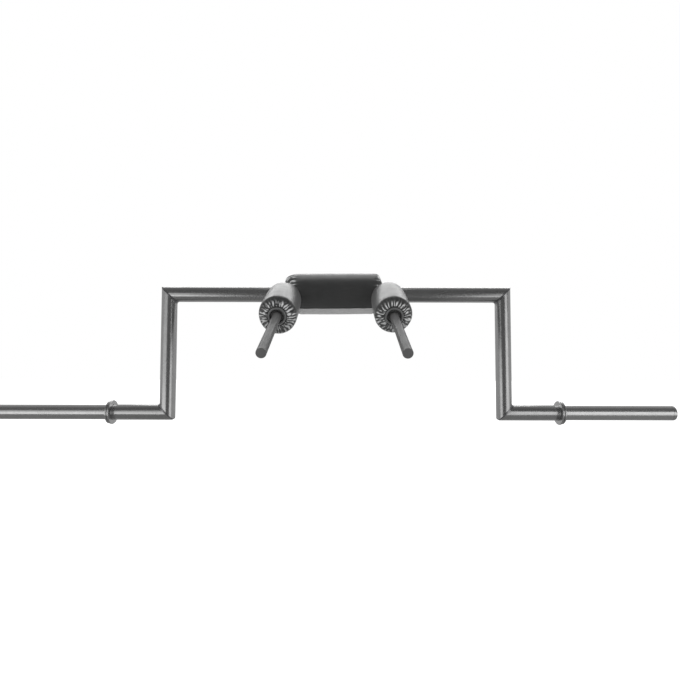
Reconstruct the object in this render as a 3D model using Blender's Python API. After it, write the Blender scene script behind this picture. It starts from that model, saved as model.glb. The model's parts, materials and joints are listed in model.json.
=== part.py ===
"""Cambered safety squat bar: mitred steel frame, padded neck roll and handles, two turning plate sleeves.

Metres, +Z up. X runs along the bar, -Y is where the handles point, and the origin is the middle of
the centre tube, on its axis. Left is -X and right is +X.
"""

import math

import bmesh
import bpy
from mathutils import Vector

# Frame
TUBE_DIAMETER = 0.0508
TUBE_WALL = 0.0050
DROP_SPACING = 1.1200
DROP_HEIGHT = 0.3940
STUB_END = 0.7450

# Sleeves and what they turn on, along the bar from its middle
OVERALL_LENGTH = 2.2460
SLEEVE_DIAMETER = 0.0483
SLEEVE_WALL = 0.0060
SPINDLE_DIAMETER = 0.0280
STOP_RING_DIAMETER = 0.0790
STOP_RING_WIDTH = 0.0060
COLLAR_DIAMETER = 0.0750
COLLAR_WIDTH = 0.0060
COLLAR_GAP = 0.0020
RING_CHAMFER = 0.0010
COLLAR_CHAMFER = 0.0020
PLUG_LENGTH = 0.0600
BUSHING_LENGTH = 0.0400
OUTER_BUSHING_INSET = 0.0360
WASHER_THICKNESS = 0.0015
SNAP_RING_THICKNESS = 0.0015
SNAP_RING_HEIGHT = 0.0030
SNAP_RING_GAP_ANGLE = math.radians(40)
GROOVE_DEPTH = 0.0010
SPINDLE_TAIL = 0.0040
END_CAP_FLANGE = 0.0100
END_CAP_PLUG = 0.0060
EDGE_BREAK = 0.0010

# Handles
HANDLE_SPACING = 0.3360
HANDLE_DIAMETER = 0.0254
HANDLE_LENGTH = 0.5550
HANDLE_SLOPE = math.radians(22)

# Shoulder pads, along the handle from the centre tube's axis
SHOULDER_DIAMETER = 0.1080
SHOULDER_BACK = 0.0560
SHOULDER_FRONT = 0.2500
SHOULDER_HEM_RADIUS = 0.0200
SHOULDER_HEM_DEPTH = 0.0110
SHOULDER_ROUND_AXIAL = 0.0090
SHOULDER_ROUND_RADIAL = 0.0070

# Neck pad, round the centre tube and between the handles
NECK_DIAMETER = 0.1340
NECK_END_GAP = 0.0013
NECK_HEM_DEPTH = 0.0050
NECK_ROUND_AXIAL = 0.0240
NECK_ROUND_RADIAL = 0.0290
STRIP_TOP_ANGLE = math.radians(-53)
STRIP_BOTTOM_ANGLE = math.radians(-101)
STRIP_INSET = 0.0090
STRIP_THICKNESS = 0.0012

# All three covers
PAD_CROWN = 0.0010
COVER_SKIN = 0.0015
HEM_LIP = 0.0035
PLEAT_COUNT = 24
PLEAT_DEPTH = 0.0024
PLEAT_START = 0.4  # where the pleats begin on an end's face: 0 at its hem, 1 at its rounded edge
PLEAT_FADES = (1.0, 0.8, 0.35, 0.0)  # how deep they still are, from that edge to the full radius
PLEAT_LEAN = (0.8, 0.6)  # how far a fold goes in along the pad, and towards its middle
CORD_DIAMETER = 0.0030

# Welds
WELD_TOE_OUTSIDE = 0.0022
WELD_TOE_INSIDE = 0.0055
WELD_HEIGHT = 0.0007
HANDLE_WELD_TOE = 0.0040

# Clearance between neighbouring solids, and between two pads
GAP = 0.0003
PAD_GAP = 0.0012

# Facets
TUBE_FACETS = 32
BORE_FACETS = 24
PAD_FACETS = 2 * PLEAT_COUNT
CORD_SIDES = 6
CUTTER_FACETS = 48
STRIP_STEPS = 8
SHARP_ANGLE = math.radians(35)
MERGE_DISTANCE = 0.000001

# Radii and places that follow from the sizes above
TUBE_RADIUS = TUBE_DIAMETER / 2
TUBE_BORE = TUBE_RADIUS - TUBE_WALL
SLEEVE_RADIUS = SLEEVE_DIAMETER / 2
SLEEVE_BORE = SLEEVE_RADIUS - SLEEVE_WALL
SPINDLE_RADIUS = SPINDLE_DIAMETER / 2
BUSHING_BORE = SPINDLE_RADIUS + GAP
BUSHING_RADIUS = SLEEVE_BORE - GAP
HANDLE_RADIUS = HANDLE_DIAMETER / 2
HANDLE_X = HANDLE_SPACING / 2
SHOULDER_RADIUS = SHOULDER_DIAMETER / 2
NECK_RADIUS = NECK_DIAMETER / 2
NECK_LENGTH = HANDLE_SPACING - HANDLE_DIAMETER - 2 * NECK_END_GAP
STRIP_LENGTH = NECK_LENGTH - 2 * NECK_ROUND_AXIAL - 2 * STRIP_INSET
NECK_HEM_RADIUS = TUBE_RADIUS + CORD_DIAMETER + 2 * GAP
CORNER_X = DROP_SPACING / 2
SLEEVE_START = STUB_END + COLLAR_GAP
SLEEVE_END = OVERALL_LENGTH / 2 - END_CAP_FLANGE - GAP
OUTER_BUSHING_END = SLEEVE_END - OUTER_BUSHING_INSET
WASHER_START = OUTER_BUSHING_END + GAP
GROOVE_START = WASHER_START + WASHER_THICKNESS
GROOVE_END = GROOVE_START + SNAP_RING_THICKNESS + 2 * GAP
SPINDLE_END = GROOVE_END + SPINDLE_TAIL

# Directions of a handle, seen from the centre tube's axis
X_AXIS = Vector((1, 0, 0))
FORWARD = Vector((0, -math.cos(HANDLE_SLOPE), -math.sin(HANDLE_SLOPE)))
UPWARD = Vector((0, -math.sin(HANDLE_SLOPE), math.cos(HANDLE_SLOPE)))

FINISHES = {
    "frame_steel": ((0.36, 0.36, 0.36), 0.28, 1.0),
    "weld_steel": ((0.22, 0.22, 0.22), 0.45, 1.0),
    "sleeve_steel": ((0.50, 0.50, 0.50), 0.22, 1.0),
    "handle_steel": ((0.42, 0.42, 0.42), 0.35, 1.0),
    "bushing_bronze": ((0.52, 0.34, 0.16), 0.35, 1.0),
    "pad_vinyl": ((0.035, 0.038, 0.037), 0.35, 0.0),
    "pad_foam": ((0.18, 0.18, 0.18), 0.90, 0.0),
    "hem_cord": ((0.02, 0.02, 0.02), 0.80, 0.0),
    "strip_webbing": ((0.38, 0.38, 0.38), 0.55, 0.0),
}


def clear_scene():
    for item in list(bpy.data.objects):
        bpy.data.objects.remove(item)


def finish_material(name):
    """The Principled material of one finish, made once."""
    if name in bpy.data.materials:
        return bpy.data.materials[name]
    colour, roughness, metallic = FINISHES[name]
    material = bpy.data.materials.new(name)
    material.use_nodes = True
    shader = material.node_tree.nodes["Principled BSDF"]
    shader.inputs["Base Color"].default_value = (*colour, 1)
    shader.inputs["Roughness"].default_value = roughness
    shader.inputs["Metallic"].default_value = metallic
    return material


def add_empty(name, location=(0, 0, 0), turned_round=False):
    """A parent for one side of the bar: its +X points outwards along the bar."""
    empty = bpy.data.objects.new(name, None)
    empty.location = location
    empty.rotation_euler.z = math.pi if turned_round else 0
    bpy.context.scene.collection.objects.link(empty)
    return empty


def add_piece(name, mesh_in_progress, finish, parent=None):
    """Turns a finished bmesh into the named object, smooth where its facets meet gently."""
    bmesh.ops.remove_doubles(mesh_in_progress, verts=mesh_in_progress.verts, dist=MERGE_DISTANCE)
    bmesh.ops.recalc_face_normals(mesh_in_progress, faces=mesh_in_progress.faces)
    mesh = bpy.data.meshes.new(name)
    mesh_in_progress.to_mesh(mesh)
    mesh_in_progress.free()
    mesh.shade_smooth()
    mesh.set_sharp_from_angle(angle=SHARP_ANGLE)
    mesh.materials.append(finish_material(finish))
    piece = bpy.data.objects.new(name, mesh)
    bpy.context.scene.collection.objects.link(piece)
    piece.parent = parent
    return piece


def spin_profile(body, profile, facets):
    """Spins (x, radius) points about X into a closed body. A bored shape's outline closes on itself."""
    points = [body.verts.new((x, 0, radius)) for x, radius in profile]
    bored = min(radius for _, radius in profile) > 0
    followers = points[1:] + points[:1] if bored else points[1:]
    edges = [body.edges.new(pair) for pair in zip(points, followers)]
    bmesh.ops.spin(
        body,
        geom=points + edges,
        cent=(0, 0, 0),
        axis=(1, 0, 0),
        angle=2 * math.pi,
        steps=facets,
        use_merge=True,
    )


def turned(name, profile, facets, finish, parent=None):
    body = bmesh.new()
    spin_profile(body, profile, facets)
    return add_piece(name, body, finish, parent)


def ring_profile(start, end, bore, radius, inner_chamfer=0.0, outer_chamfer=0.0):
    """A bored ring: the chamfers are on its outer edges, at its start and at its end."""
    points = [(start, bore)]
    points += [(start, radius - inner_chamfer)]
    if inner_chamfer:
        points += [(start + inner_chamfer, radius)]
    if outer_chamfer:
        points += [(end - outer_chamfer, radius)]
    points += [(end, radius - outer_chamfer), (end, bore)]
    return points


def loft(body, sections, closed):
    """Joins rings of points, each with as many points, into a tube: closed on itself or capped."""
    rings = [[body.verts.new(point) for point in section] for section in sections]
    pairs = list(zip(rings, rings[1:]))
    if closed:
        pairs.append((rings[-1], rings[0]))
    else:
        body.faces.new(rings[0])
        body.faces.new(rings[-1])
    for ring, following in pairs:
        for here, there in zip(range(len(ring)), [*range(1, len(ring)), 0]):
            body.faces.new((ring[here], ring[there], following[there], following[here]))


# Frame tubes and their welds


def mitred_tube(name, start, end, start_slope, end_slope, parent, turn=0.0):
    """A tube along local X. A slope of 1 cuts an end at 45 degrees, longest at local +Z."""
    trim = GAP / math.sqrt(2)
    body = bmesh.new()
    spin_profile(body, ring_profile(start, end, TUBE_BORE, TUBE_RADIUS), TUBE_FACETS)
    middle = (start + end) / 2
    for vertex in body.verts:
        slope, inward = (start_slope, trim) if vertex.co.x < middle else (end_slope, -trim)
        vertex.co.x += slope * vertex.co.z + inward * abs(slope)
    tube = add_piece(name, body, "frame_steel", parent)
    tube.rotation_euler.y = turn
    return tube


def bead_section(point, normals, aways, tangent, toe, height):
    """A weld's cross-section where two surfaces meet: a toe on each, a crest, and a root near the joint."""
    across = []
    for away, normal in zip(aways, normals):
        square = away - tangent * away.dot(tangent) - normal * away.dot(normal)
        across.append(square.normalized())
    both = normals[0] + normals[1]
    outward = both.normalized()
    root = point + both * (GAP / (1 + normals[0].dot(normals[1])))
    toes = [point + a * toe + n * GAP for a, n in zip(across, normals)]
    crest = point + outward * (max(toe * across[0].dot(outward), 0) + GAP + height)
    return [root, toes[0], crest, toes[1]]


def mitre_weld(name, parent, height_z, along_tube, along_drop):
    """The bead round one mitre. The two aways point from the corner along the tube and the drop tube."""
    sections = []
    for step in range(TUBE_FACETS):
        angle = 2 * math.pi * step / TUBE_FACETS
        cosine, sine = math.cos(angle), math.sin(angle)
        inside = (1 + cosine * along_tube.x) / 2
        across, up = TUBE_RADIUS * sine, TUBE_RADIUS * cosine
        point = Vector((CORNER_X + up, across, height_z + up))
        toe = WELD_TOE_OUTSIDE + (WELD_TOE_INSIDE - WELD_TOE_OUTSIDE) * inside**2
        normals = (Vector((0, sine, cosine)), Vector((cosine, sine, 0)))
        tangent = Vector((-sine, cosine, -sine)).normalized()
        sections.append(bead_section(point, normals, (along_tube, along_drop), tangent, toe, WELD_HEIGHT))
    body = bmesh.new()
    loft(body, sections, closed=True)
    return add_piece(name, body, "weld_steel", parent)


def build_frame(sides):
    mitred_tube("centre_tube", -CORNER_X, CORNER_X, -1, 1, None)
    down = Vector((0, 0, -1))
    for side, parent in sides.items():
        drop = mitred_tube(f"{side}_drop_tube", 0, DROP_HEIGHT, -1, -1, parent, turn=math.pi / 2)
        drop.location.x = CORNER_X
        stub = mitred_tube(f"{side}_stub_tube", CORNER_X, STUB_END, 1, 0, parent)
        stub.location.z = -DROP_HEIGHT
        mitre_weld(f"{side}_upper_weld", parent, 0, -X_AXIS, down)
        mitre_weld(f"{side}_lower_weld", parent, -DROP_HEIGHT, X_AXIS, -down)


# Handles


def on_handle(across, along, up=0.0):
    """A point of the right handle: across from its axis, along it, and up from it."""
    return X_AXIS * (HANDLE_X + across) + FORWARD * along + UPWARD * up


def tube_cutter():
    """The centre tube with its clearance, as a guide for the handles' saddle cuts."""
    reach = HANDLE_X + 2 * HANDLE_DIAMETER
    profile = [(-reach, 0), (-reach, TUBE_RADIUS + GAP), (reach, TUBE_RADIUS + GAP), (reach, 0)]
    cutter = turned("saddle_cutter", profile, CUTTER_FACETS, "frame_steel")
    cutter.hide_render = True
    cutter.display_type = "WIRE"
    return cutter


def lay_along_handle(piece, side, along=0.0):
    """Turns a piece made along local X so that it runs along one handle, at a distance along it."""
    piece.location = on_handle(0, along)
    piece.location.x *= -1 if side == "left" else 1
    piece.rotation_mode = "ZYX"
    piece.rotation_euler = (HANDLE_SLOPE, 0, -math.pi / 2)


def build_handles(sides):
    cutter = tube_cutter()
    foot = TUBE_RADIUS - HANDLE_RADIUS
    profile = [(foot, 0), (foot, HANDLE_RADIUS), (HANDLE_LENGTH - EDGE_BREAK, HANDLE_RADIUS)]
    profile += [(HANDLE_LENGTH, HANDLE_RADIUS - EDGE_BREAK), (HANDLE_LENGTH, 0)]
    for side in sides:
        handle = turned(f"{side}_handle", profile, BORE_FACETS, "handle_steel")
        lay_along_handle(handle, side)
        saddle = handle.modifiers.new("saddle", "BOOLEAN")
        saddle.object = cutter
        saddle.operation = "DIFFERENCE"
        saddle.solver = "EXACT"
        handle_weld(f"{side}_handle_weld", handle.location.x)


def handle_weld(name, x):
    """The fillet round a handle's foot, on the curve where the handle meets the centre tube."""
    sections = []
    for step in range(BORE_FACETS):
        angle = 2 * math.pi * step / BORE_FACETS
        across, up = HANDLE_RADIUS * math.cos(angle), HANDLE_RADIUS * math.sin(angle)
        along = math.sqrt(TUBE_RADIUS**2 - up**2)
        point = X_AXIS * (x + across) + FORWARD * along + UPWARD * up
        handle_normal = (X_AXIS * across + UPWARD * up).normalized()
        tube_normal = (FORWARD * along + UPWARD * up).normalized()
        tangent = handle_normal.cross(tube_normal).normalized()
        normals = (handle_normal, tube_normal)
        aways = (FORWARD, handle_normal)
        sections.append(bead_section(point, normals, aways, tangent, HANDLE_WELD_TOE, WELD_HEIGHT))
    body = bmesh.new()
    loft(body, sections, closed=True)
    return add_piece(name, body, "weld_steel")


# Sleeves and spindles


def fixed_end_pieces(side, parent):
    """What stays with the frame inside and beside one sleeve. Local X is measured from the bar's middle."""
    ring_start = STUB_END - STOP_RING_WIDTH
    ring_radius = STOP_RING_DIAMETER / 2
    ring = ring_profile(ring_start, STUB_END, TUBE_RADIUS + GAP, ring_radius, RING_CHAMFER, RING_CHAMFER)
    plug = ring_profile(STUB_END - PLUG_LENGTH, STUB_END, SPINDLE_RADIUS + GAP, TUBE_BORE - GAP)
    thrust_end = SLEEVE_START - GAP
    thrust = ring_profile(STUB_END + GAP, thrust_end, SPINDLE_RADIUS + GAP, SLEEVE_RADIUS - EDGE_BREAK)
    washer = ring_profile(WASHER_START, GROOVE_START, SPINDLE_RADIUS + GAP, BUSHING_RADIUS - EDGE_BREAK)
    turned(f"{side}_stop_ring", ring, TUBE_FACETS, "sleeve_steel", parent)
    turned(f"{side}_spindle_plug", plug, BORE_FACETS, "frame_steel", parent)
    turned(f"{side}_thrust_washer", thrust, BORE_FACETS, "bushing_bronze", parent)
    turned(f"{side}_retaining_washer", washer, BORE_FACETS, "sleeve_steel", parent)
    spindle(f"{side}_spindle", parent)
    snap_ring(f"{side}_snap_ring", parent)


def spindle(name, parent):
    start = STUB_END - PLUG_LENGTH
    groove_radius = SPINDLE_RADIUS - GROOVE_DEPTH
    profile = [
        (start, 0),
        (start, SPINDLE_RADIUS),
        (GROOVE_START, SPINDLE_RADIUS),
        (GROOVE_START, groove_radius),
        (GROOVE_END, groove_radius),
        (GROOVE_END, SPINDLE_RADIUS),
        (SPINDLE_END - EDGE_BREAK, SPINDLE_RADIUS),
        (SPINDLE_END, SPINDLE_RADIUS - EDGE_BREAK),
        (SPINDLE_END, 0),
    ]
    turned(name, profile, BORE_FACETS, "sleeve_steel", parent)


def snap_ring(name, parent):
    """An open ring that sits in the spindle's groove."""
    inner = SPINDLE_RADIUS - GROOVE_DEPTH + GAP
    start = GROOVE_START + GAP
    profile = ring_profile(start, start + SNAP_RING_THICKNESS, inner, inner + SNAP_RING_HEIGHT)
    sweep = 2 * math.pi - SNAP_RING_GAP_ANGLE
    sections = []
    for step in range(BORE_FACETS + 1):
        angle = SNAP_RING_GAP_ANGLE / 2 + sweep * step / BORE_FACETS
        sections.append([(x, radius * math.cos(angle), radius * math.sin(angle)) for x, radius in profile])
    body = bmesh.new()
    loft(body, sections, closed=False)
    return add_piece(name, body, "sleeve_steel", parent)


def turning_pieces(side, parent):
    """What turns together on one spindle."""
    tube = ring_profile(SLEEVE_START, SLEEVE_END, SLEEVE_BORE, SLEEVE_RADIUS)
    collar_span = (SLEEVE_START, SLEEVE_START + COLLAR_WIDTH)
    collar_radii = (SLEEVE_RADIUS + GAP, COLLAR_DIAMETER / 2)
    collar = ring_profile(*collar_span, *collar_radii, RING_CHAMFER, COLLAR_CHAMFER)
    inner = ring_profile(SLEEVE_START, SLEEVE_START + BUSHING_LENGTH, BUSHING_BORE, BUSHING_RADIUS)
    outer_start = OUTER_BUSHING_END - BUSHING_LENGTH
    outer = ring_profile(outer_start, OUTER_BUSHING_END, BUSHING_BORE, BUSHING_RADIUS)
    turned(f"{side}_sleeve_tube", tube, TUBE_FACETS, "sleeve_steel", parent)
    turned(f"{side}_sleeve_collar", collar, TUBE_FACETS, "sleeve_steel", parent)
    turned(f"{side}_inner_bushing", inner, BORE_FACETS, "bushing_bronze", parent)
    turned(f"{side}_outer_bushing", outer, BORE_FACETS, "bushing_bronze", parent)
    end_cap(f"{side}_end_cap", parent)


def end_cap(name, parent):
    """A flange as wide as the sleeve, with a plug that enters its bore."""
    face = OVERALL_LENGTH / 2
    flange = face - END_CAP_FLANGE
    plug_radius = SLEEVE_BORE - GAP
    profile = [
        (SLEEVE_END - END_CAP_PLUG, 0),
        (SLEEVE_END - END_CAP_PLUG, plug_radius - EDGE_BREAK),
        (SLEEVE_END - END_CAP_PLUG + EDGE_BREAK, plug_radius),
        (flange, plug_radius),
        (flange, SLEEVE_RADIUS),
        (face - EDGE_BREAK, SLEEVE_RADIUS),
        (face, SLEEVE_RADIUS - EDGE_BREAK),
        (face, 0),
    ]
    turned(name, profile, TUBE_FACETS, "sleeve_steel", parent)


# Pads


def quarter_round(end, radius, axial, radial, steps):
    """Points from an end's face, over its rounded edge, to the full radius."""
    points = []
    for step in range(steps + 1):
        angle = math.pi / 2 * step / steps
        points.append((end - axial * (1 - math.cos(angle)), radius - radial * (1 - math.sin(angle))))
    return points


def cover_end(end, radius, hem_radius, hem_depth, axial, radial):
    """One end of a cover from its hem to its full radius, as (distance, radius, pleat depth)."""
    face = radius - radial
    hem = [(end - hem_depth - HEM_LIP, hem_radius, 0)]
    hem += [(end - hem_depth, hem_radius + HEM_LIP, 0)]
    hem += [(end - hem_depth / 2, hem_radius + (face - hem_radius) * PLEAT_START, PLEAT_DEPTH / 2)]
    rounded = quarter_round(end, radius, axial, radial, len(PLEAT_FADES) - 1)
    return hem + [(x, r, PLEAT_DEPTH * fade) for (x, r), fade in zip(rounded, PLEAT_FADES)]


def cover_profile(half_length, *sizes):
    """The outer line of a cover, from its left hem to its right one, crowned in the middle."""
    right = cover_end(half_length, *sizes)
    left = [(-x, radius, pleat) for x, radius, pleat in right]
    return left + [(0, sizes[0] + PAD_CROWN, 0)] + right[::-1]


def core_profile(half_length, radius, hem_depth, axial, radial, less=0.0):
    """The space inside a cover from its middle outwards, as (distance, radius), made smaller by less."""
    end = half_length - hem_depth - HEM_LIP - COVER_SKIN
    inner = radius - COVER_SKIN
    rounded = quarter_round(end - less, inner - less, axial, radial, 1)
    return rounded[::-1]


def cover_sections(half_length, radius, hem_radius, hem_depth, axial, radial):
    """Rings of a cover: its outer line with pleats, then back along its inner line."""
    outer = cover_profile(half_length, radius, hem_radius, hem_depth, axial, radial)
    core = core_profile(half_length, radius, hem_depth, axial, radial)
    right = core + [(core[-1][0], hem_radius)]
    inner = right[::-1] + [(-x, r) for x, r in right]
    sections = []
    for facet in range(PAD_FACETS):
        angle = 2 * math.pi * facet / PAD_FACETS
        section = []
        for x, r, pleat in outer:
            fold = pleat if facet % 2 else 0
            tuck = math.copysign(fold, x) * PLEAT_LEAN[0]
            section.append((x - tuck, r - fold * PLEAT_LEAN[1], angle))
        section += [(x, r, angle) for x, r in inner]
        sections.append(section)
    return sections


def build_cover(name, sections, place, finish="pad_vinyl"):
    """A cover as one closed skin. place turns (distance, radius, angle) into a point."""
    body = bmesh.new()
    loft(body, [[place(*point) for point in section] for section in sections], closed=True)
    return add_piece(name, body, finish)


def round_neck(x, radius, angle):
    return Vector((x, radius * math.cos(angle), radius * math.sin(angle)))


def neck_reach(x):
    """The neck pad's radius at a distance from the bar's middle, or 0 beyond its end."""
    start = NECK_LENGTH / 2 - NECK_ROUND_AXIAL
    beyond = (abs(x) - start) / NECK_ROUND_AXIAL
    if beyond > 1:
        return 0.0
    if beyond <= 0:
        return NECK_RADIUS + PAD_CROWN * (1 - abs(x) / start)
    return NECK_RADIUS - NECK_ROUND_RADIAL * (1 - math.sqrt(1 - beyond**2))


def shoulder_placer(side):
    """Places the points of one shoulder pad, and sets its back end against the neck pad."""
    sign = -1 if side == "left" else 1
    middle = (SHOULDER_BACK + SHOULDER_FRONT) / 2

    def place(distance, radius, angle):
        across, up = radius * math.cos(angle), radius * math.sin(angle)
        along = middle + distance
        reach = neck_reach(HANDLE_X + across) + PAD_GAP
        if reach > abs(up):
            along = max(along, math.sqrt(reach**2 - up**2))
        point = on_handle(across, along, up)
        point.x *= sign
        return point

    return place


def drawcord(name, hem_radius, end):
    """The cord inside one hem's opening, as a plain ring."""
    radius = CORD_DIAMETER / 2
    middle = hem_radius - GAP - radius
    turns = [math.tau * corner / CORD_SIDES for corner in range(CORD_SIDES)]
    profile = [(end + radius * math.sin(turn), middle + radius * math.cos(turn)) for turn in turns]
    return turned(name, profile, BORE_FACETS, "hem_cord")


def foam_core(name, bore, *sizes):
    """The foam that fills a cover, bored for what it sits on."""
    right = core_profile(*sizes, less=GAP)
    right += [(right[-1][0], bore)]
    profile = right[::-1] + [(-x, radius) for x, radius in right]
    return turned(name, profile, BORE_FACETS, "pad_foam")


def build_shoulder_pads(sides):
    half = (SHOULDER_FRONT - SHOULDER_BACK) / 2
    rounding = (SHOULDER_ROUND_AXIAL, SHOULDER_ROUND_RADIAL)
    sections = cover_sections(half, SHOULDER_RADIUS, SHOULDER_HEM_RADIUS, SHOULDER_HEM_DEPTH, *rounding)
    cord_end = half - SHOULDER_HEM_DEPTH - HEM_LIP
    core_sizes = (half, SHOULDER_RADIUS, SHOULDER_HEM_DEPTH, *rounding)
    for side in sides:
        build_cover(f"{side}_shoulder_cover", sections, shoulder_placer(side))
        foam = foam_core(f"{side}_shoulder_foam", HANDLE_RADIUS + GAP, *core_sizes)
        back_cord = drawcord(f"{side}_shoulder_back_cord", SHOULDER_HEM_RADIUS, -cord_end)
        front_cord = drawcord(f"{side}_shoulder_front_cord", SHOULDER_HEM_RADIUS, cord_end)
        for piece in (foam, back_cord, front_cord):
            lay_along_handle(piece, side, (SHOULDER_BACK + SHOULDER_FRONT) / 2)


def build_neck_pad():
    half = NECK_LENGTH / 2
    rounding = (NECK_ROUND_AXIAL, NECK_ROUND_RADIAL)
    sections = cover_sections(half, NECK_RADIUS, NECK_HEM_RADIUS, NECK_HEM_DEPTH, *rounding)
    build_cover("neck_cover", sections, round_neck)
    foam_core("neck_foam", TUBE_RADIUS + GAP, half, NECK_RADIUS, NECK_HEM_DEPTH, *rounding)
    cord_end = half - NECK_HEM_DEPTH - HEM_LIP
    drawcord("neck_left_cord", NECK_HEM_RADIUS, -cord_end)
    drawcord("neck_right_cord", NECK_HEM_RADIUS, cord_end)
    closure_strip()


def closure_strip():
    """A thin curved strip on the neck cover's underside, following its crown."""
    sweep = STRIP_BOTTOM_ANGLE - STRIP_TOP_ANGLE
    angles = [STRIP_TOP_ANGLE + sweep * step / STRIP_STEPS for step in range(STRIP_STEPS + 1)]
    sections = []
    for x in (-STRIP_LENGTH / 2, 0, STRIP_LENGTH / 2):
        inner = neck_reach(x) + GAP
        outer = inner + STRIP_THICKNESS
        under = [(x, -inner * math.cos(angle), inner * math.sin(angle)) for angle in angles]
        over = [(x, -outer * math.cos(angle), outer * math.sin(angle)) for angle in angles]
        sections.append(under + over[::-1])
    body = bmesh.new()
    loft(body, sections, closed=False)
    return add_piece("neck_closure_strip", body, "strip_webbing")


def main():
    clear_scene()
    sides = {"left": add_empty("left_side", turned_round=True), "right": add_empty("right_side")}
    build_frame(sides)
    build_handles(sides)
    for side in sides:
        axis = add_empty(f"{side}_sleeve_axis", (0, 0, -DROP_HEIGHT), turned_round=side == "left")
        fixed_end_pieces(side, axis)
        turning_pieces(side, axis)
    build_shoulder_pads(sides)
    build_neck_pad()


main()
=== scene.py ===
"""Looks of the cambered safety squat bar, laid out as an add-on and run as a script.

Metres, +Z up, in the frame's own coordinates. X runs along the bar, -Y is where the handles point, and
the origin is the middle of the centre tube, on its axis. Left is -X and right is +X.
"""

import json
import math

import bmesh
import bpy
from bpy.props import FloatProperty, FloatVectorProperty, IntProperty, PointerProperty
from mathutils import Euler, Matrix, Vector, noise


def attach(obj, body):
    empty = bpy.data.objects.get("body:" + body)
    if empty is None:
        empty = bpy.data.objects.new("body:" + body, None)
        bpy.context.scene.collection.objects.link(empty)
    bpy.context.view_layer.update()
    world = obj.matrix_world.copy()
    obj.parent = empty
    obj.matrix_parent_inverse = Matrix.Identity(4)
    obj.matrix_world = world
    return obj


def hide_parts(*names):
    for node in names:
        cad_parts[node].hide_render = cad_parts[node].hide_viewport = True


bl_info = {
    "name": "Safety squat bar",
    "version": (1, 0, 0),
    "blender": (4, 5, 0),
    "location": "View3D > Sidebar > Squat Bar",
    "description": "Makes the finished surfaces of a cambered safety squat bar, and a studio for it",
    "category": "Object",
}

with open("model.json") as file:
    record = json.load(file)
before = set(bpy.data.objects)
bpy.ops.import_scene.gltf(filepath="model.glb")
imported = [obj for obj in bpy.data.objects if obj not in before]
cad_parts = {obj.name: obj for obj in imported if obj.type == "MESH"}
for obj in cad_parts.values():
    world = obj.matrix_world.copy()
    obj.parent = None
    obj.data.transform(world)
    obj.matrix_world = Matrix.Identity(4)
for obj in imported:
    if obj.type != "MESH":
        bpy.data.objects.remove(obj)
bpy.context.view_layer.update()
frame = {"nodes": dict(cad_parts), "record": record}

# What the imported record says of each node
BODY_OF = {node: body for body, nodes in frame["record"]["behaviour"]["bodies"].items() for node in nodes}

# Directions
SIDES = {"left": -1, "right": 1}
X_AXIS = Vector((1, 0, 0))
Z_AXIS = Vector((0, 0, 1))
HANDLE_SLOPE = math.radians(22)
FORWARD = Vector((0, -math.cos(HANDLE_SLOPE), -math.sin(HANDLE_SLOPE)))
UPWARD = Vector((0, -math.sin(HANDLE_SLOPE), math.cos(HANDLE_SLOPE)))
HANDLE_ANGLE = math.atan2(FORWARD.y, FORWARD.z)


def span(node, axis):
    """Where a node begins and ends along an axis through the origin."""
    places = [vertex.co.dot(axis) for vertex in frame["nodes"][node].data.vertices]
    return min(places), max(places)


def middle_and_half(node, axis):
    """The middle of a node along an axis, and half of its length there."""
    start, end = span(node, axis)
    return (start + end) / 2, (end - start) / 2


def radii(node, centre, axis):
    """The least and the greatest distance of a node's points from an axis."""
    away = [(vertex.co - centre).cross(axis).length for vertex in frame["nodes"][node].data.vertices]
    return min(away), max(away)


# Places and sizes measured on the frame
CORNER_X = middle_and_half("right_drop_tube", X_AXIS)[0]
SLEEVE_Z = middle_and_half("right_stub_tube", Z_AXIS)[0]
SLEEVE_AXIS = Vector((0, 0, SLEEVE_Z))
STUB_END = span("right_stub_tube", X_AXIS)[1]
TUBE_BORE, TUBE_RADIUS = radii("centre_tube", Vector(), X_AXIS)
HANDLE_X, HANDLE_RADIUS = middle_and_half("right_handle", X_AXIS)
HANDLE_END = span("right_handle", FORWARD)[1]
SHOULDER_MIDDLE, SHOULDER_HALF = middle_and_half("right_shoulder_cover", FORWARD)
NECK_HALF = span("neck_cover", X_AXIS)[1]
STRIP_HALF = span("neck_closure_strip", X_AXIS)[1]

# Small clearances, and the rounding of the metal's edges. A handle has a narrow band at its end.
GAP = 0.0003
PAD_GAP = 0.0012
STUB_ROUNDING = 0.0008
HANDLE_ROUNDING = 0.0012
HANDLE_END_BAND = 0.004
CAP_ROUNDING = 0.0012
SLEEVE_CHAMFER = 0.0004
WASHER_ROUNDING = 0.0002
# Radius and depth of the turned mark in an end cap's middle
CENTRE_MARK = (0.0030, 0.0022)

# Welds: how deep the flats on the outer tips of the upper and lower mitres are, and the share of what
# stands past a flat that is ground off, then the beads
UPPER_TIP = 0.0030
LOWER_TIP = 0.0062
GROUND_SHARE = 0.8
WELD_PREPARATION = 0.0019
WELD_CROWN = 0.0006
WELD_WANDER = 0.0003
RIPPLE_PITCH = 0.0022
RIPPLE_HEIGHT = 0.00012
HANDLE_FILLET = 0.0042

# Covers. A hem is its radius, how deep it lies in the face, and how far it rolls forward. A rounding
# is how far a cover's edge goes along the pad and inwards.
PAD_CROWN = 0.0010
COVER_SKIN = 0.0015
HEM_LIP = 0.0056
SHOULDER_RADIUS = middle_and_half("right_shoulder_cover", X_AXIS)[1] - PAD_CROWN
SHOULDER_HEM = (0.0208, 0.0140, 0.0090)
SHOULDER_ROUND = (0.0160, 0.0165)
NECK_RADIUS = span("neck_cover", Z_AXIS)[1] - PAD_CROWN
NECK_HEM = (0.0290, 0.0050, 0.0)
NECK_ROUND = (0.0240, 0.0290)

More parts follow.
